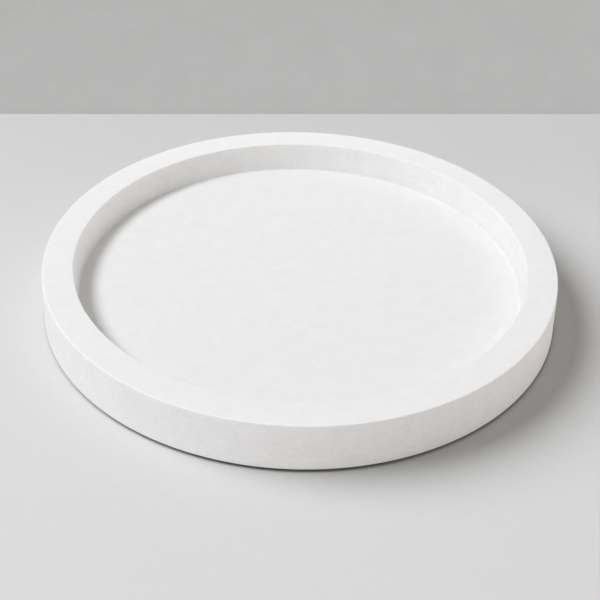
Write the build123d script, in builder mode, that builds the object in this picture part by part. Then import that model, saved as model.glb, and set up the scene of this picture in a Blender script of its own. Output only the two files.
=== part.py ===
from build123d import *
import os
from math import radians, tan

# A round candle plate: one mineral casting with a sunken dish, standing on four stick-on felt pads.
# The origin is on the table under the middle of the plate, with +Z up. Millimetres and degrees.

# Casting
rim_diameter = 150.0  # across the outer wall, at its top edge before rounding
casting_height = 14.2
rim_width = 8.9  # across the flat rim, between its two edges before rounding
dish_depth = 9.5
outer_draft = 2.4  # the outer wall widens towards the base, which is the open side of the mould
dish_draft = 5.5  # the dish narrows towards its floor
rim_outer_round = 0.45
rim_inner_round = 0.3
dish_corner_round = 0.35
base_edge_round = 0.2

# Felt pads, each held to the base by a disc of adhesive film
pad_diameter = 16.0
pad_inset = 12.0  # from the edge of the base to the nearest point of a pad
felt_thickness = 0.7
felt_edge_round = 0.2
film_thickness = 0.1
film_margin = 0.4  # the film stops this far inside the felt's edge
pad_places = ("back_right", "back_left", "front_left", "front_right")  # evenly round the axis
first_pad_angle = 45.0

# Levels above the table
film_level = felt_thickness
base_level = film_level + film_thickness
rim_level = base_level + casting_height
floor_level = rim_level - dish_depth

# Radii from the axis
rim_radius = rim_diameter / 2
base_radius = rim_radius + casting_height * tan(radians(outer_draft))
mouth_radius = rim_radius - rim_width
floor_radius = mouth_radius - dish_depth * tan(radians(dish_draft))
pad_radius = pad_diameter / 2
pad_circle_radius = base_radius - pad_inset - pad_radius

os.makedirs("parts", exist_ok=True)

# The casting is a turned section: base, outer wall, flat rim, dish wall and dish floor.
with BuildPart() as plate_casting:
    with BuildSketch(Plane.XZ):
        with BuildLine():
            Polyline(
                (0, base_level),
                (base_radius, base_level),
                (rim_radius, rim_level),
                (mouth_radius, rim_level),
                (floor_radius, floor_level),
                (0, floor_level),
                close=True,
            )
        make_face()
    revolve(axis=Axis.Z)
    fillet(plate_casting.faces().sort_by(Axis.Z)[-1].edges().sort_by(SortBy.RADIUS)[-1], rim_outer_round)
    fillet(plate_casting.faces().sort_by(Axis.Z)[-1].edges().sort_by(SortBy.RADIUS)[0], rim_inner_round)
    fillet(plate_casting.faces().sort_by(Axis.Z)[0].edges(), base_edge_round)
    fillet(plate_casting.faces().filter_by(GeomType.PLANE).sort_by(Axis.Z)[1].edges(), dish_corner_round)
plate_casting.part.label = "plate_casting"
export_step(plate_casting.part, "parts/plate_casting.step")

# Each pad is a die-cut felt disc, its lower edge rounded by wear, under its own disc of film.
for index, place in enumerate(pad_places):
    pad_angle = first_pad_angle + index * 360 / len(pad_places)

    with BuildPart() as felt_pad:
        with BuildSketch(Plane.XY):
            with PolarLocations(pad_circle_radius, 1, start_angle=pad_angle):
                Circle(pad_radius)
        extrude(amount=felt_thickness)
        fillet(felt_pad.faces().sort_by(Axis.Z)[0].edges(), felt_edge_round)
    felt_pad.part.label = f"felt_pad_{place}"
    export_step(felt_pad.part, f"parts/felt_pad_{place}.step")

    with BuildPart() as adhesive_film:
        with BuildSketch(Plane.XY.offset(film_level)):
            with PolarLocations(pad_circle_radius, 1, start_angle=pad_angle):
                Circle(pad_radius - film_margin)
        extrude(amount=film_thickness)
    adhesive_film.part.label = f"adhesive_film_{place}"
    export_step(adhesive_film.part, f"parts/adhesive_film_{place}.step")
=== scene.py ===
import bpy
from math import cos, pi, radians, sin, tan
from mathutils import Matrix, Vector


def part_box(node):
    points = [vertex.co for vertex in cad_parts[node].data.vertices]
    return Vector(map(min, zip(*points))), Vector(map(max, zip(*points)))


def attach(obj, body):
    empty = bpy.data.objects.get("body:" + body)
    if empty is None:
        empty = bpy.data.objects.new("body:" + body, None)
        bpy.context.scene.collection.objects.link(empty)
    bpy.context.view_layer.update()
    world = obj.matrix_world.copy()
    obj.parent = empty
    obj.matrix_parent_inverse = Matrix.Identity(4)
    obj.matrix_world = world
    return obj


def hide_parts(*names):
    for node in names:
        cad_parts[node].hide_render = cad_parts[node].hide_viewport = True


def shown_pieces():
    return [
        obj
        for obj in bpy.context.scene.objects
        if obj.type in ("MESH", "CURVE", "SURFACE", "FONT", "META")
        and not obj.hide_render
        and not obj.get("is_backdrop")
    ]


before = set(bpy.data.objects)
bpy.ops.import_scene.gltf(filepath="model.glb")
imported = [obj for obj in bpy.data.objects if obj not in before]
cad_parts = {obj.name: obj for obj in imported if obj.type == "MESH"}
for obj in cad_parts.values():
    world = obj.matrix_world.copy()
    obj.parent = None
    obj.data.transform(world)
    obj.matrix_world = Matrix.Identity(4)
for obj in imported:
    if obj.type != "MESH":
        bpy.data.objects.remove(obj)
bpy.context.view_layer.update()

# Plate casting: the whole plate is one pour of fine white gypsum, turned out of a round mould. The base was
# the open side of the mould and is rubbed flat. Bubbles left pinholes, most of them on the walls and the
# base. The rim's top is painted paler as painted light, its edges carry a painted highlight over a little
# wear, and the dish's corner is painted darker as painted shade.
mm = 0.001
casting_low, casting_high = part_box("plate_casting")
base_level = casting_low.z
rim_level = casting_high.z
rim_radius = 75.0 * mm
rim_width = 8.9 * mm
dish_depth = 9.5 * mm
outer_draft = radians(2.4)
dish_draft = radians(5.5)
base_radius = rim_radius + (rim_level - base_level) * tan(outer_draft)
mouth_radius = rim_radius - rim_width
floor_level = rim_level - dish_depth
floor_radius = mouth_radius - dish_depth * tan(dish_draft)


class Wire:
    """One output of a node. Arithmetic on it adds Math nodes to the same tree."""

    def __init__(self, graph, socket):
        self.graph = graph
        self.socket = socket

    def out(self, name):
        """Another output of the same node."""
        return Wire(self.graph, self.socket.node.outputs[name])

    def math(self, operation, *others):
        """A Math node whose first value is this one."""
        return self.graph.math(operation, self, *others)

    def rise(self, low, high):
        """Goes smoothly from 0 at low to 1 at high, or down where low is the greater."""
        return self.graph.node(
            "ShaderNodeMapRange",
            {"interpolation_type": "SMOOTHSTEP"},
            {"Value": self, "From Min": low, "From Max": high},
        )

    def __add__(self, other):
        return self.math("ADD", other)

    def __sub__(self, other):
        return self.math("SUBTRACT", other)

    def __rsub__(self, other):
        return self.graph.math("SUBTRACT", other, self)

    def __mul__(self, other):
        return self.math("MULTIPLY", other)

    def __truediv__(self, other):
        return self.math("DIVIDE", other)

    def __pow__(self, other):
        return self.math("POWER", other)

    def __gt__(self, other):
        return self.math("GREATER_THAN", other)

    def __lt__(self, other):
        return self.math("LESS_THAN", other)

    __radd__ = __add__
    __rmul__ = __mul__


class Graph:
    """A node tree that is written from its inputs to its output."""

    def __init__(self, tree):
        self.tree = tree

    def node(self, kind, settings, inputs):
        """Adds a node, sets it up, then gives its sockets values or links. Returns its first output."""
        made = self.tree.nodes.new(kind)
        for name, value in settings.items():
            if name == "items":
                made.index_switch_items.clear()
                for _ in range(value):
                    made.index_switch_items.new()
            else:
                setattr(made, name, value)
        for name, value in inputs.items():
            if isinstance(name, int):
                socket = made.inputs[name]
            else:
                socket = next(s for s in made.inputs if s.enabled and s.name == name)
            for source in value if isinstance(value, list) else [value]:
                if isinstance(source, Wire):
                    self.tree.links.new(source.socket, socket)
                else:
                    socket.default_value = source
        return Wire(self, next((s for s in made.outputs if s.enabled), None))

    def math(self, operation, *values):
        return self.node("ShaderNodeMath", {"operation": operation}, dict(enumerate(values)))

    def xyz(self, x, y, z):
        return self.node("ShaderNodeCombineXYZ", {}, {"X": x, "Y": y, "Z": z})

    def parts(self, vector):
        """A vector's X, Y and Z."""
        split = self.node("ShaderNodeSeparateXYZ", {}, {0: vector})
        return split, split.out("Y"), split.out("Z")

    def scaled(self, vector, factor):
        return self.node("ShaderNodeVectorMath", {"operation": "SCALE"}, {0: vector, "Scale": factor})

    def noise(self, place, size, detail=2.0, roughness=0.5):
        """Even noise around 0.5, with lumps about as wide as the size."""
        return self.node(
            "ShaderNodeTexNoise",
            {},
            {"Vector": place, "Scale": 1 / size, "Detail": detail, "Roughness": roughness},
        )

    def mix(self, factor, low, high):
        """A colour between two others."""
        return self.node("ShaderNodeMix", {"data_type": "RGBA"}, {"Factor": factor, "A": low, "B": high})

    def bump(self, height):
        """A normal bent by a height in metres."""
        return self.node("ShaderNodeBump", {}, {"Strength": 1.0, "Distance": 1.0, "Height": height})

    def random(self, low, high, seed):
        """A random number for each point."""
        return self.node("FunctionNodeRandomValue", {}, {"Min": low, "Max": high, "Seed": seed})


def geometry_tree(name, sizes):
    """Starts a geometry tree with named inputs. Returns it with its inputs' wires by name."""
    tree = bpy.data.node_groups.new(name, "GeometryNodeTree")
    for size, value in sizes.items():
        kind = "NodeSocketInt" if isinstance(value, int) else "NodeSocketFloat"
        tree.interface.new_socket(size, in_out="INPUT", socket_type=kind)
    tree.interface.new_socket("Geometry", in_out="OUTPUT", socket_type="NodeSocketGeometry")
    graph = Graph(tree)
    source = tree.nodes.new("NodeGroupInput")
    return graph, {size: Wire(graph, source.outputs[size]) for size in sizes}


def end_tree(graph, geometry, material):
    """Ends a geometry tree with real geometry of one material."""
    realized = graph.node("GeometryNodeRealizeInstances", {}, {"Geometry": geometry})
    dressed = graph.node("GeometryNodeSetMaterial", {}, {"Geometry": realized, "Material": material})
    graph.node("NodeGroupOutput", {}, {"Geometry": dressed})


def plain_mesh(name, tree, sizes):
    """Runs a geometry tree on an empty object and keeps the result as that object's own mesh."""
    piece = bpy.data.objects.new(name, bpy.data.meshes.new(name))
    bpy.context.scene.collection.objects.link(piece)
    shape = piece.modifiers.new("shape", "NODES")
    shape.node_group = tree
    for socket in tree.interface.items_tree:
        if socket.in_out == "INPUT":
            shape[socket.identifier] = sizes[socket.name]
    made = bpy.data.meshes.new_from_object(piece.evaluated_get(bpy.context.evaluated_depsgraph_get()))
    piece.modifiers.remove(shape)
    piece.data = made
    made.name = name
    return piece


round_steps = 6
weld_distance = 0.001 * mm


def turned(graph, corners, rounds, spacing, segments):
    """Rounds off a section's corners and turns it about Z into a solid, in quads about spacing long."""
    index = graph.node("GeometryNodeInputIndex", {}, {})
    position = graph.node("GeometryNodeInputPosition", {}, {})
    count = len(corners)
    places = {0: index, **{number + 1: graph.xyz(r, 0.0, z) for number, (r, z) in enumerate(corners)}}
    radii = {0: index, **{number + 1: radius for number, radius in enumerate(rounds)}}
    line = graph.node("GeometryNodeMeshLine", {}, {"Count": count})
    line = graph.node("GeometryNodeMeshToCurve", {}, {"Mesh": line})
    corner = graph.node("GeometryNodeIndexSwitch", {"data_type": "VECTOR", "items": count}, places)
    line = graph.node("GeometryNodeSetPosition", {}, {"Geometry": line, "Position": corner})
    radius = graph.node("GeometryNodeIndexSwitch", {"data_type": "FLOAT", "items": count}, radii)
    line = graph.node(
        "GeometryNodeFilletCurve", {"mode": "POLY"}, {"Curve": line, "Count": round_steps, "Radius": radius}
    )
    onward = graph.node(
        "GeometryNodeFieldAtIndex", {"data_type": "FLOAT_VECTOR"}, {"Value": position, "Index": index + 1}
    )
    run = graph.node("ShaderNodeVectorMath", {"operation": "DISTANCE"}, {0: position, 1: onward})
    line = graph.node("GeometryNodeSubdivideCurve", {}, {"Curve": line, "Cuts": run.out("Value") / spacing})
    rings = graph.node("GeometryNodeAttributeDomainSize", {"component": "CURVE"}, {"Geometry": line})
    sheet = graph.node(
        "GeometryNodeMeshGrid", {}, {"Vertices X": rings.out("Point Count"), "Vertices Y": segments + 1}
    )
    ring = (index / (segments + 1)).math("FLOOR")
    step = index - ring * (segments + 1)
    section = graph.node(
        "GeometryNodeSampleIndex",
        {"data_type": "FLOAT_VECTOR"},
        {"Geometry": line, "Value": position, "Index": ring},
    )
    reach, _, level = graph.parts(section)
    angle = step / segments * (2 * pi)
    place = graph.xyz(reach * angle.math("COSINE"), reach * angle.math("SINE"), level)
    solid = graph.node("GeometryNodeSetPosition", {}, {"Geometry": sheet, "Position": place})
    return graph.node("GeometryNodeMergeByDistance", {}, {"Geometry": solid, "Distance": weld_distance})


def worn_in(graph, mesh, depth, lump, share):
    """Lets a surface sink unevenly, by up to a depth, in lumps of a size, where its share is above 0."""
    normal = graph.node("GeometryNodeInputNormal", {}, {})
    position = graph.node("GeometryNodeInputPosition", {}, {})
    sink = graph.scaled(normal, graph.noise(position, lump) * share * depth * -1)
    return graph.node("GeometryNodeSetPosition", {}, {"Geometry": mesh, "Offset": sink})


def shaded(graph, mesh, sharp_angle):
    """Smooth shading that breaks at edges sharper than an angle."""
    bend = graph.node("GeometryNodeInputMeshEdgeAngle", {}, {})
    smooth = graph.node("GeometryNodeSetShadeSmooth", {"domain": "FACE"}, {"Geometry": mesh})
    return graph.node(
        "GeometryNodeSetShadeSmooth",
        {"domain": "EDGE"},
        {"Geometry": smooth, "Selection": bend > sharp_angle, "Shade Smooth": False},
    )


def new_material(name):
    """A material with a graph, its Object coordinates and its Principled shader."""
    material = bpy.data.materials.new(name)
    material.use_nodes = True
    graph = Graph(material.node_tree)
    place = graph.node("ShaderNodeTexCoord", {}, {}).out("Object")
    return material, graph, place, material.node_tree.nodes["Principled BSDF"]


def feed(graph, shader, **values):
    """Links or sets the shader's sockets, named with underscores for spaces."""
    for name, value in values.items():
        socket = shader.inputs[name.replace("_", " ")]
        if isinstance(value, Wire):
            graph.tree.links.new(value.socket, socket)
        else:
            socket.default_value = value


def grey(value, red=1.0, blue=1.0):
    """A grey, warmer or cooler by a share of its red and blue."""
    return (value * red, value, value * blue, 1.0)


gypsum, graph, place, shader = new_material("white_gypsum")
dull_gypsum = grey(0.80)
pale_gypsum = grey(0.92)
fleck_spacing = 2.2 * mm
corner_shade_reach = 4.0 * mm
corner_shade_core = 0.2 * mm
outer_edge_band = 0.7 * mm
inner_edge_band = 0.6 * mm
edge_band_core = 0.2 * mm
scratch_width = 0.3 * mm
scratch_length = 16.0 * mm
relief_depth = 0.03 * mm
x, y, height = graph.parts(place)
radius = (x * x + y * y) ** 0.5


def from_ring(ring_radius, ring_level):
    """The distance from a ring about the plate's axis."""
    outward = radius - ring_radius
    upward = height - ring_level
    return (outward * outward + upward * upward) ** 0.5


clouds = graph.noise(place, 5.0 * mm)
speckle = graph.noise(place, 1.2 * mm, 2.0, 0.6)
grain = graph.noise(place, 0.5 * mm, 3.0, 0.6)
patches = graph.noise(place, 2.0 * mm)
from_fleck = graph.node("ShaderNodeTexVoronoi", {}, {"Vector": place, "Scale": 1 / fleck_spacing})
fleck_strength, _, _ = graph.parts(from_fleck.out("Color"))
flecks = from_fleck.rise(0.11, 0.05) * fleck_strength * fleck_strength
# The rim's edges are painted paler in patches: a painted highlight along them, with a little real wear.
outer_edge = from_ring(rim_radius, rim_level).rise(outer_edge_band, edge_band_core)
inner_edge = from_ring(mouth_radius, rim_level).rise(inner_edge_band, edge_band_core)
highlit_worn_edges = (outer_edge + inner_edge * 0.6) * patches.rise(0.3, 0.55)
# The rim's top is painted paler: painted light, as it gets more light than the dish below it.
lit_rim_top = height.rise(rim_level - 0.4 * mm, rim_level - 0.1 * mm)
walls = (1 - lit_rim_top) * radius.rise(floor_radius - 0.5 * mm, floor_radius)
# The dish's floor and wall are painted darker towards their corner: painted shade.
corner_shade = from_ring(floor_radius, floor_level).rise(corner_shade_reach, corner_shade_core)
sanded = height.rise(base_level + 0.12 * mm, base_level + 0.03 * mm)
sanding = graph.noise(graph.xyz((x + y) / scratch_width, (y - x) / scratch_length, 0.0), 1.0, 3.0, 0.6)
tone = (
    0.5
    + (clouds - 0.5) * (0.45 + walls * 0.15)
    + (speckle - 0.5) * (0.5 + walls * 0.35)
    + (grain - 0.5) * (0.3 + walls * 0.2)
    + highlit_worn_edges * 0.12
    + lit_rim_top * 0.2
    - corner_shade * 0.35
    - flecks * (0.7 + walls * 0.8)
    + sanded * (sanding - 0.9)
)
feed(
    graph,
    shader,
    Base_Color=graph.mix(tone, dull_gypsum, pale_gypsum),
    Roughness=0.86 + (grain - 0.5) * 0.2 - highlit_worn_edges * 0.12,
    Normal=graph.bump(grain * relief_depth + sanded * sanding * relief_depth),
    Specular_IOR_Level=0.3,
)

casting_sizes = {
    "Floor Radius": floor_radius,
    "Floor Level": floor_level,
    "Mouth Radius": mouth_radius,
    "Rim Level": rim_level,
    "Rim Radius": rim_radius,
    "Base Radius": base_radius,
    "Base Level": base_level,
    "Dish Corner Round": 0.35 * mm,
    "Rim Inner Round": 0.3 * mm,
    "Rim Outer Round": 0.45 * mm,
    "Base Edge Round": 0.2 * mm,
    "Quad Length": 2.2 * mm,
    "Segments": 360,
    "Unevenness": 0.08 * mm,
    "Largest Pinhole": 0.2 * mm,
    "Pinholes Per Square Metre": 22000.0,
    "Share On Top": 0.08,
    "Share Below": 0.8,
    "Seed": 4,
}
uneven_lump = 12.0 * mm
rubbed_band = 2.0 * mm
upright_limit = 0.3
level_limit = 0.99
smallest_bubble = 0.35
sunk_share = 0.3
sharp_bend = radians(50)
graph, size = geometry_tree("cast_plate", casting_sizes)
section = [
    (0.0, size["Floor Level"]),
    (size["Floor Radius"], size["Floor Level"]),
    (size["Mouth Radius"], size["Rim Level"]),
    (size["Rim Radius"], size["Rim Level"]),
    (size["Base Radius"], size["Base Level"]),
    (0.0, size["Base Level"]),
]
rounds = [
    0.0,
    size["Dish Corner Round"],
    size["Rim Inner Round"],
    size["Rim Outer Round"],
    size["Base Edge Round"],
    0.0,
]
body = turned(graph, section, rounds, size["Quad Length"], size["Segments"])
_, _, level = graph.parts(graph.node("GeometryNodeInputPosition", {}, {}))
above_base = level.rise(size["Base Level"], size["Base Level"] + rubbed_band)
body = worn_in(graph, body, size["Unevenness"], uneven_lump, above_base)

_, _, facing = graph.parts(graph.node("GeometryNodeInputNormal", {}, {}))
upright = facing.math("ABSOLUTE") < upright_limit
on_top = (facing > level_limit) * size["Share On Top"]
below = (facing < -level_limit) * size["Share Below"]
pinholes = graph.node(
    "GeometryNodeDistributePointsOnFaces",
    {"distribute_method": "POISSON"},
    {
        "Mesh": body,
        "Distance Min": size["Largest Pinhole"] * 3,
        "Density Max": size["Pinholes Per Square Metre"],
        "Density Factor": upright + on_top + below,
        "Seed": size["Seed"],
    },
)
bubble_chance = graph.random(0.0, 1.0, size["Seed"] + 1) ** 3
bubble_radius = size["Largest Pinhole"] * (smallest_bubble + (1 - smallest_bubble) * bubble_chance)
stretch = graph.random(0.8, 1.25, size["Seed"] + 2)
sunk = graph.node(
    "GeometryNodeSetPosition",
    {},
    {"Geometry": pinholes, "Offset": graph.scaled(pinholes.out("Normal"), bubble_radius * -sunk_share)},
)
bubbles = graph.node(
    "GeometryNodeInstanceOnPoints",
    {},
    {
        "Points": sunk,
        "Instance": graph.node("GeometryNodeMeshUVSphere", {}, {"Segments": 8, "Rings": 5, "Radius": 1.0}),
        "Rotation": pinholes.out("Rotation"),
        "Scale": graph.xyz(bubble_radius * stretch, bubble_radius / stretch, bubble_radius),
    },
)
body = graph.node(
    "GeometryNodeMeshBoolean",
    {"operation": "DIFFERENCE", "solver": "MANIFOLD"},
    {"Mesh 1": body, "Mesh 2": bubbles},
)
end_tree(graph, shaded(graph, body, sharp_bend), gypsum)

plate = plain_mesh("cast_plate", graph.tree, casting_sizes)
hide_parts("plate_casting")
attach(plate, "root")

# Adhesive films: a disc of acrylic film sticks each felt pad to the base. It is clear, and milky in the
# patches where it has gripped the rubbed gypsum.
pad_places = ("back_right", "back_left", "front_left", "front_right")
ripple_depth = 0.01 * mm
acrylic, graph, place, shader = new_material("milky_acrylic")
gripped = graph.noise(place, 1.6 * mm, 3.0, 0.6).rise(0.4, 0.6)
ripple = graph.noise(place, 0.4 * mm)
feed(
    graph,
    shader,
    Base_Color=graph.mix(gripped, grey(0.66, 1.03, 0.88), grey(0.82, 1.01, 0.94)),
    Roughness=0.22 + gripped * 0.3,
    Normal=graph.bump(ripple * ripple_depth),
)
for pad_place in pad_places:
    for material_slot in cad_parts[f"adhesive_film_{pad_place}"].material_slots:
        material_slot.material = acrylic

# Felt pads: four discs punched out of pressed wool felt, which keep the plate off the table. The punch
# leaves fibres standing out of their sides, and the table has rounded their lower edges.
felt, graph, place, shader = new_material("pressed_felt")
hair_length = 0.9 * mm
hair_width = 0.09 * mm
hair_layer = 0.2 * mm
hair_depth = 0.08 * mm
tuft_depth = 0.06 * mm
x, y, height = graph.parts(place)
tufts = graph.noise(place, 1.1 * mm, 3.0, 0.6)
hairs_across = graph.noise(graph.xyz(x / hair_length, y / hair_width, height / hair_layer), 1.0, 2.0, 0.6)
hairs_along = graph.noise(graph.xyz(x / hair_width, y / hair_length, height / hair_layer), 1.0, 2.0, 0.6)
hairs = hairs_across.math("MAXIMUM", hairs_along)
nap = (hairs - 0.5) * 1.5 + (tufts - 0.5) * 0.9 + 0.35
feed(
    graph,
    shader,
    Base_Color=graph.mix(nap, grey(0.46, 1.04, 0.92), grey(0.68, 1.03, 0.93)),
    Roughness=0.97 - hairs * 0.1,
    Normal=graph.bump(hairs * hair_depth + tufts * tuft_depth),
    Sheen_Weight=0.25,
    Sheen_Roughness=0.6,
    Specular_IOR_Level=0.15,
)

pad_sizes = {
    "Centre X": 0.0,
    "Centre Y": 0.0,
    "Radius": 0.0,
    "Thickness": 0.0,
    "Edge Round": 0.2 * mm,
    "Quad Length": 0.35 * mm,
    "Segments": 128,
    "Lumpiness": 0.06 * mm,
    "Fibre Length": 0.7 * mm,
    "Fibre Radius": 0.012 * mm,
    "Fibres Per Square Metre": 1.0e7,
    "Seed": 0,
}
punched_round = 0.02 * mm
felt_lump = 0.9 * mm
lumpy_limit = 0.5
side_limit = 0.8
press_margin = 0.02 * mm
graph, size = geometry_tree("felt_pad", pad_sizes)
section = [(0.0, size["Thickness"]), (size["Radius"], size["Thickness"]), (size["Radius"], 0.0), (0.0, 0.0)]
rounds = [0.0, punched_round, size["Edge Round"], 0.0]
disc = turned(graph, section, rounds, size["Quad Length"], size["Segments"])
_, _, facing = graph.parts(graph.node("GeometryNodeInputNormal", {}, {}))
disc = worn_in(graph, disc, size["Lumpiness"], felt_lump, facing < lumpy_limit)
roots = graph.node(
    "GeometryNodeDistributePointsOnFaces",
    {},
    {
        "Mesh": disc,
        "Density": size["Fibres Per Square Metre"] * (facing.math("ABSOLUTE") < side_limit),
        "Seed": size["Seed"],
    },
)
length = size["Fibre Length"]
fibre = graph.node(
    "GeometryNodeCurveQuadraticBezier",
    {},
    {
        "Resolution": 3,
        "Start": graph.xyz(0.0, 0.0, length * -0.1),
        "Middle": graph.xyz(length * 0.45, 0.0, length * 0.4),
        "End": graph.xyz(length, length * 0.15, length * 0.15),
    },
)
fibre = graph.node(
    "GeometryNodeCurveToMesh",
    {},
    {
        "Curve": fibre,
        "Profile Curve": graph.node(
            "GeometryNodeCurvePrimitiveCircle", {}, {"Resolution": 3, "Radius": size["Fibre Radius"]}
        ),
        "Fill Caps": True,
    },
)
turn = graph.random(0.0, 2 * pi, size["Seed"] + 1)
spin = graph.node("FunctionNodeEulerToRotation", {}, {"Euler": graph.xyz(0.0, 0.0, turn)})
fibre_length = graph.random(0.4, 1.2, size["Seed"] + 2)
fibres = graph.node(
    "GeometryNodeInstanceOnPoints",
    {},
    {
        "Points": roots,
        "Instance": fibre,
        "Rotation": graph.node(
            "FunctionNodeRotateRotation",
            {"rotation_space": "LOCAL"},
            {"Rotation": roots.out("Rotation"), "Rotate By": spin},
        ),
        "Scale": graph.xyz(fibre_length, fibre_length, fibre_length),
    },
)
fibres = graph.node("GeometryNodeRealizeInstances", {}, {"Geometry": fibres})
across, along, level = graph.parts(graph.node("GeometryNodeInputPosition", {}, {}))
pressed = level.math("MAXIMUM", press_margin).math("MINIMUM", size["Thickness"] - press_margin)
fibres = graph.node(
    "GeometryNodeSetPosition", {}, {"Geometry": fibres, "Position": graph.xyz(across, along, pressed)}
)
pad = graph.node("GeometryNodeJoinGeometry", {}, {"Geometry": [shaded(graph, disc, sharp_bend), fibres]})
pad = graph.node(
    "GeometryNodeTransform",
    {},
    {"Geometry": pad, "Translation": graph.xyz(size["Centre X"], size["Centre Y"], 0.0)},
)
end_tree(graph, pad, felt)

for number, pad_place in enumerate(pad_places):
    low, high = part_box(f"felt_pad_{pad_place}")
    pad_sizes["Centre X"] = (low.x + high.x) / 2
    pad_sizes["Centre Y"] = (low.y + high.y) / 2
    pad_sizes["Radius"] = (high.x - low.x) / 2
    pad_sizes["Thickness"] = high.z - low.z
    pad_sizes["Seed"] = 10 * number
    pad = plain_mesh(f"pressed_pad_{pad_place}", graph.tree, pad_sizes)
    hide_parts(f"felt_pad_{pad_place}")
    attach(pad, "root")

# Camera: the photograph's view, from the front and 36 degrees down on the plate, with the camera tipped
# slightly to one side.
camera_elevation = 0.63403
camera_distance = 352.82 * mm
camera_target = Vector((0.23 * mm, -3.93 * mm, base_level))
camera_roll = 0.02912
focal_pixels = 1180.1
picture_pixels = 600
back = Vector((0.0, -cos(camera_elevation), sin(camera_elevation)))
level_right = Vector((1.0, 0.0, 0.0))
level_up = back.cross(level_right)
right = level_right * cos(camera_roll) + level_up * sin(camera_roll)
up = level_up * cos(camera_roll) - level_right * sin(camera_roll)
eye = camera_target + back * camera_distance
camera_data = bpy.data.cameras.new("camera")
camera_data.sensor_width = 36.0
camera_data.lens = camera_data.sensor_width * focal_pixels / picture_pixels
camera = bpy.data.objects.new("camera", camera_data)
bpy.context.scene.collection.objects.link(camera)
camera.matrix_world = Matrix.Translation(eye) @ Matrix((right, up, back)).transposed().to_4x4()
bpy.context.scene.camera = camera
bpy.context.scene.view_settings.view_transform = "Standard"

# Table and card: a pale table top with painted light, brightest at the front left, and a painted shadow
# where the plate stands over it, and a grey card behind it with painted shade. The card shows only as a
# background, and only from its front.
table_size = 3.0
table_tone = 0.598
base_blur = 0.6 * mm
table_paint, graph, place, shader = new_material("table_paint")
x, y, _ = graph.parts(place)
radius = (x * x + y * y) ** 0.5
# The table is painted lighter at the front left and darker towards the right and the back: painted light
# fall-off.
painted_light_falloff = 1.053 - 0.07 * x.rise(-200.0 * mm, 200.0 * mm) - 0.11 * y.rise(-20.0 * mm, 110.0 * mm)
mottle = graph.noise(place, 25.0 * mm) * 0.02 + graph.noise(place, 2.4 * mm, 3.0, 0.7) * 0.05
# A painted shadow on the table under the plate's base, deepest at the front middle.
shadow_under_plate = radius.rise(base_radius + base_blur, base_radius - base_blur)
painted_shadow_depth = 0.55 - 0.2 * x.rise(0.0, 70.0 * mm) - 0.25 * x.rise(-30.0 * mm, -75.0 * mm)
tone = table_tone * (painted_light_falloff + mottle - 0.035) * (1 - painted_shadow_depth * shadow_under_plate)
feed(
    graph,
    shader,
    Base_Color=graph.mix(tone, grey(0.0), grey(1.0, 0.975, 0.975)),
    Roughness=0.7,
    Specular_IOR_Level=0.0,
)
bpy.ops.mesh.primitive_plane_add(size=table_size)
table = bpy.context.object
table.name = "table"
table.data.materials.append(table_paint)
table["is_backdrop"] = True

card_row = 114
card_height = 1.0
card_tone = 0.468


def on_table(column, row):
    """The point of the table that the camera sees at a pixel."""
    middle = picture_pixels / 2
    ray = right * (column - middle) / focal_pixels + up * (middle - row) / focal_pixels - back
    return eye - ray * (eye.z / ray.z)


def picture_rays(graph):
    """1 for what shows to the camera, straight, mirrored or through glass, and 0 for light on the plate."""
    path = graph.node("ShaderNodeLightPath", {}, {})
    return path + path.out("Is Glossy Ray") + path.out("Is Transmission Ray")


left_end = on_table(0, card_row)
right_end = on_table(picture_pixels, card_row)
middle = (left_end + right_end) / 2
half = (right_end - left_end).normalized() * table_size / 2
rise = Vector((0.0, 0.0, card_height))
card_corners = [middle - half, middle + half, middle + half + rise, middle - half + rise]
card_mesh = bpy.data.meshes.new("card")
card_mesh.from_pydata(card_corners, [], [(0, 1, 2, 3)])
card = bpy.data.objects.new("card", card_mesh)
bpy.context.scene.collection.objects.link(card)
card_paper, graph, place, _ = new_material("card_paper")
_, _, height = graph.parts(place)
shown = picture_rays(graph) * (1 - graph.node("ShaderNodeNewGeometry", {}, {}).out("Backfacing"))
mottle = graph.noise(place, 14.0 * mm, 3.0, 0.6) * 0.1 + graph.noise(place, 2.0 * mm, 3.0, 0.7) * 0.08
# Painted shade on the card: darker at its foot, where it meets the table, and towards its top.
card_shade = 0.885 + mottle + 0.03 * height.rise(0.0, 4.0 * mm) - 0.05 * height.rise(8.0 * mm, 90.0 * mm)
card_colour = graph.mix(card_tone * card_shade, grey(0.0), grey(1.0, 1.0, 0.99))
glow = graph.node("ShaderNodeEmission", {}, {"Color": card_colour, "Strength": 1.0})
clear = graph.node("ShaderNodeBsdfTransparent", {}, {})
mixed = graph.node("ShaderNodeMixShader", {}, {0: shown, 1: clear, 2: glow})
graph.tree.links.new(mixed.socket, graph.tree.nodes["Material Output"].inputs["Surface"])
card_mesh.materials.append(card_paper)
card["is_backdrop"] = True

# Light: soft studio light from the left. One lamp models the plate, and a broader and lower one lays its
# shadow on the table. A panel behind the plate, a low strip at its right and a surround that is brighter
# near the horizon than above fill the rest.
key_tint = (0.975, 1.0, 1.035)
shadow_lamp_tint = (1.03, 1.0, 1.07)
strip_tint = (1.15, 1.0, 0.985)
plain_tint = (1.0, 1.0, 1.0)


def towards(azimuth, elevation):
    """The direction from the plate at these angles."""
    return Vector((cos(azimuth) * cos(elevation), sin(azimuth) * cos(elevation), sin(elevation)))


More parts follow.
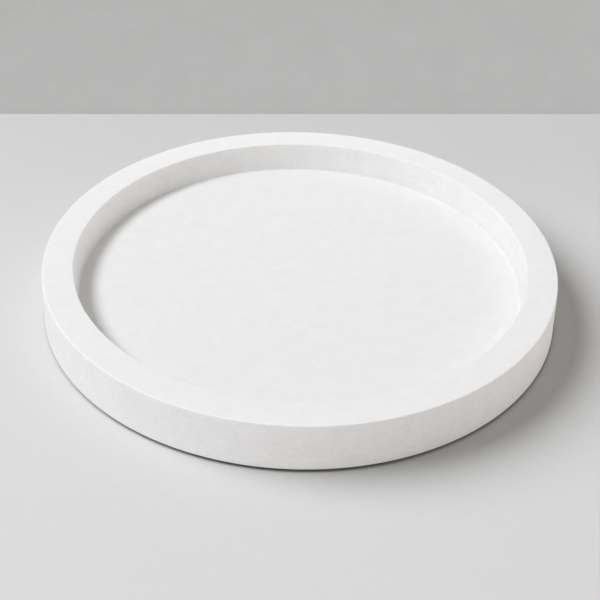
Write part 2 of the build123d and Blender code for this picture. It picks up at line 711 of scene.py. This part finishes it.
def soft_lamp(name, shape, wide, tall, place, faces, radiance, tint, receivers):
    """A lamp that is even over its face, looks back along a direction and lights only the receivers."""
    data = bpy.data.lights.new(name, "AREA")
    data.shape = shape
    data.size = wide
    data.size_y = tall
    area = wide * tall * (1.0 if shape == "RECTANGLE" else pi / 4)
    data.energy = radiance * area * pi
    data.color = tint
    lamp = bpy.data.objects.new(name, data)
    bpy.context.scene.collection.objects.link(lamp)
    lamp.location = place
    lamp.rotation_euler = faces.to_track_quat("Z", "Y").to_euler()
    lit = bpy.data.collections.new(name)
    for thing in receivers:
        lit.objects.link(thing)
    lamp.light_linking.receiver_collection = lit


def disc_lamp(name, azimuth, elevation, distance, spread, radiance, tint, receivers):
    """A far round lamp, as wide as an angle seen from the plate."""
    wide = 2 * distance * tan(spread / 2)
    aim = towards(azimuth, elevation)
    soft_lamp(name, "ELLIPSE", wide, wide, aim * distance, aim, radiance, tint, receivers)


def standing_panel(name, azimuth, distance, wide, tall, radiance, tint):
    """An upright panel that stands just over the table and lights only the plate."""
    aim = towards(azimuth, 0.0)
    place = aim * distance + Vector((0.0, 0.0, tall / 2))
    soft_lamp(name, "RECTANGLE", wide, tall, place, aim, radiance, tint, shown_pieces())


disc_lamp(
    "key_lamp",
    azimuth=radians(200),
    elevation=radians(57),
    distance=3.0,
    spread=radians(19),
    radiance=23.4,
    tint=key_tint,
    receivers=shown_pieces(),
)
disc_lamp(
    "shadow_lamp",
    azimuth=radians(166),
    elevation=radians(41),
    distance=10.0,
    spread=radians(43),
    radiance=8.7,
    tint=shadow_lamp_tint,
    receivers=[table],
)
standing_panel(
    "back_panel", azimuth=radians(90), distance=0.12, wide=0.8, tall=0.15, radiance=0.285, tint=plain_tint
)
standing_panel(
    "low_strip", azimuth=radians(-10), distance=1.0, wide=1.2, tall=0.08, radiance=5.45, tint=strip_tint
)

front_glow = 0.41
back_glow = 0.313
left_glow = 0.475
right_glow = 0.59
surround_tint = (1.04, 1.0, 0.95, 1.0)
world = bpy.data.worlds.new("surround")
world.use_nodes = True
graph = Graph(world.node_tree)
direction = graph.node("ShaderNodeTexCoord", {}, {}).out("Generated")
across, along, _ = graph.parts(direction)
glow = (
    front_glow * (along * -1).math("MAXIMUM", 0.0)
    + back_glow * along.math("MAXIMUM", 0.0)
    + left_glow * (across * -1).math("MAXIMUM", 0.0)
    + right_glow * across.math("MAXIMUM", 0.0)
)
surround = graph.node("ShaderNodeBackground", {}, {"Color": surround_tint, "Strength": glow})
backdrop = graph.node("ShaderNodeBackground", {}, {"Color": grey(card_tone), "Strength": 1.0})
mixed = graph.node("ShaderNodeMixShader", {}, {0: picture_rays(graph), 1: surround, 2: backdrop})
graph.tree.links.new(mixed.socket, graph.tree.nodes["World Output"].inputs["Surface"])
bpy.context.scene.world = world
